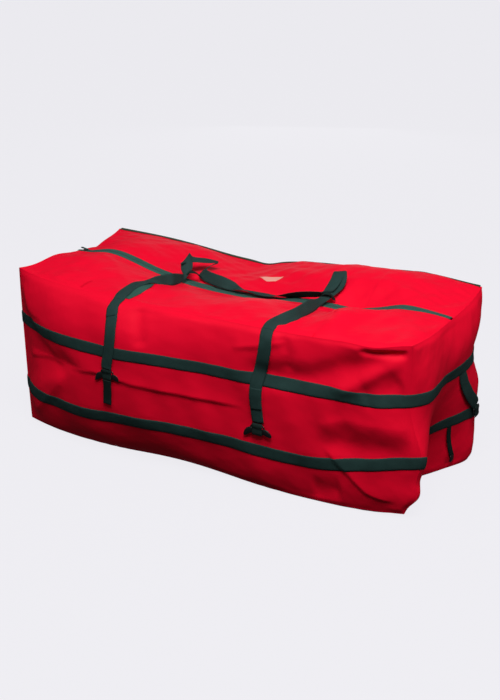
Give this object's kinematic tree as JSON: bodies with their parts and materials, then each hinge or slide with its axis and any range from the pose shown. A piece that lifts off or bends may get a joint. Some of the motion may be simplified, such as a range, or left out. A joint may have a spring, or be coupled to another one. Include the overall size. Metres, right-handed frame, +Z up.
{
  "type": "christmas tree storage bag",
  "caption": "Long filled zip-top fabric storage bag for an artificial tree, with webbing bands round its walls, carrying handles and strap buckles.",
  "frame": {"origin": "on the floor under the middle of the bag", "axes": "+X along the length to the right of someone facing the front, -Y to the front, +Z up"},
  "size_m": [1.4439, 0.7888, 0.5611],
  "materials": {
    "red_polyester": "plain-woven coated polyester with a low sheen",
    "green_webbing": "dark green woven polypropylene webbing",
    "zip_tape": "dark green woven zip tape",
    "nylon_coil": "dark green nylon coil",
    "black_acetal": "black moulded plastic",
    "coated_zinc": "dark green enamelled die casting",
    "label_cloth": "pale bare woven label"
  },
  "bodies": {
    "bag": {"bottom_panel": "red_polyester", "front_panel": "red_polyester", "rear_panel": "red_polyester", "left_end_panel": "red_polyester", "right_end_panel": "red_polyester", "top_left_strip": "red_polyester", "top_right_strip": "red_polyester", "rear_edge_binding": "green_webbing", "zip_end_left": "zip_tape", "zip_end_right": "zip_tape", "lower_band": "green_webbing", "upper_band": "green_webbing", "front_leg_left": "green_webbing", "front_leg_right": "green_webbing", "rear_leg_left": "green_webbing", "rear_leg_right": "green_webbing", "left_end_strap": "green_webbing", "right_end_strap": "green_webbing", "left_end_tail": "green_webbing", "right_end_tail": "green_webbing", "left_end_stop": "black_acetal", "right_end_stop": "black_acetal"},
    "top_front_half": {"top_front_panel": "red_polyester", "zip_tape_front": "zip_tape", "zip_coil_front": "nylon_coil"},
    "top_rear_half": {"top_rear_panel": "red_polyester", "zip_tape_rear": "zip_tape", "zip_coil_rear": "nylon_coil", "label_patch": "label_cloth"},
    "front_handle": {"front_handle": "green_webbing"},
    "rear_handle": {"rear_handle": "green_webbing"},
    "zip_slider": {"zip_slider": "coated_zinc"},
    "zip_pull": {"zip_pull": "coated_zinc"},
    "front_left_buckle": {"front_left_buckle": "black_acetal", "front_left_tail": "green_webbing"},
    "front_right_buckle": {"front_right_buckle": "black_acetal"},
    "rear_left_buckle": {"rear_left_buckle": "black_acetal", "rear_left_tail": "green_webbing"},
    "rear_right_buckle": {"rear_right_buckle": "black_acetal"},
    "left_end_buckle": {"left_end_buckle": "black_acetal"},
    "right_end_buckle": {"right_end_buckle": "black_acetal"}
  },
  "joints": [
    {"name": "top_front_half_opens", "type": "hinge", "parent": "bag", "child": "top_front_half", "pos_m": [0, -0.35, 0.499], "axis": [1, 0, 0], "range_deg": [0, 85]},
    {"name": "top_rear_half_opens", "type": "hinge", "parent": "bag", "child": "top_rear_half", "pos_m": [0, 0.35, 0.499], "axis": [-1, 0, 0], "range_deg": [0, 85]},
    {"name": "front_handle_swings", "type": "hinge", "parent": "top_front_half", "child": "front_handle", "pos_m": [0, -0.343, 0.542], "axis": [1, 0, 0], "range_deg": [0, 120]},
    {"name": "rear_handle_swings", "type": "hinge", "parent": "bag", "child": "rear_handle", "pos_m": [0, 0.386, 0.486], "axis": [1, 0, 0], "range_deg": [0, 165]},
    {"name": "slider_runs", "type": "hinge", "parent": "bag", "child": "zip_slider", "pos_m": [0, 0, 4.06557], "axis": [0, -1, 0], "range_deg": [0, 19.71]},
    {"name": "pull_swings", "type": "hinge", "parent": "zip_slider", "child": "zip_pull", "pos_m": [-0.61108, 0, 0.53185], "axis": [0, 1, 0], "range_deg": [0, 150]},
    {"name": "front_left_buckle_swings", "type": "hinge", "parent": "bag", "child": "front_left_buckle", "pos_m": [-0.252, -0.39469, 0.3136], "axis": [-1, 0, 0], "range_deg": [0, 80]},
    {"name": "front_right_buckle_swings", "type": "hinge", "parent": "bag", "child": "front_right_buckle", "pos_m": [0.244, -0.34968, 0.2296], "axis": [-1, 0, 0], "range_deg": [0, 80]},
    {"name": "rear_left_buckle_swings", "type": "hinge", "parent": "bag", "child": "rear_left_buckle", "pos_m": [-0.285, 0.36615, 0.2496], "axis": [1, 0, 0], "range_deg": [0, 80]},
    {"name": "rear_right_buckle_swings", "type": "hinge", "parent": "bag", "child": "rear_right_buckle", "pos_m": [0.285, 0.3605, 0.2496], "axis": [1, 0, 0], "range_deg": [0, 80]},
    {"name": "left_end_buckle_swings", "type": "hinge", "parent": "bag", "child": "left_end_buckle", "pos_m": [-0.72195, 0.156, 0.1976], "axis": [0, 1, 0], "range_deg": [0, 80]},
    {"name": "right_end_buckle_swings", "type": "hinge", "parent": "bag", "child": "right_end_buckle", "pos_m": [0.70366, 0.156, 0.1976], "axis": [0, -1, 0], "range_deg": [0, 80]}
  ],
  "couplings": [
    {"joint": "top_rear_half_opens", "follows": "top_front_half_opens", "ratio": 1}
  ]
}
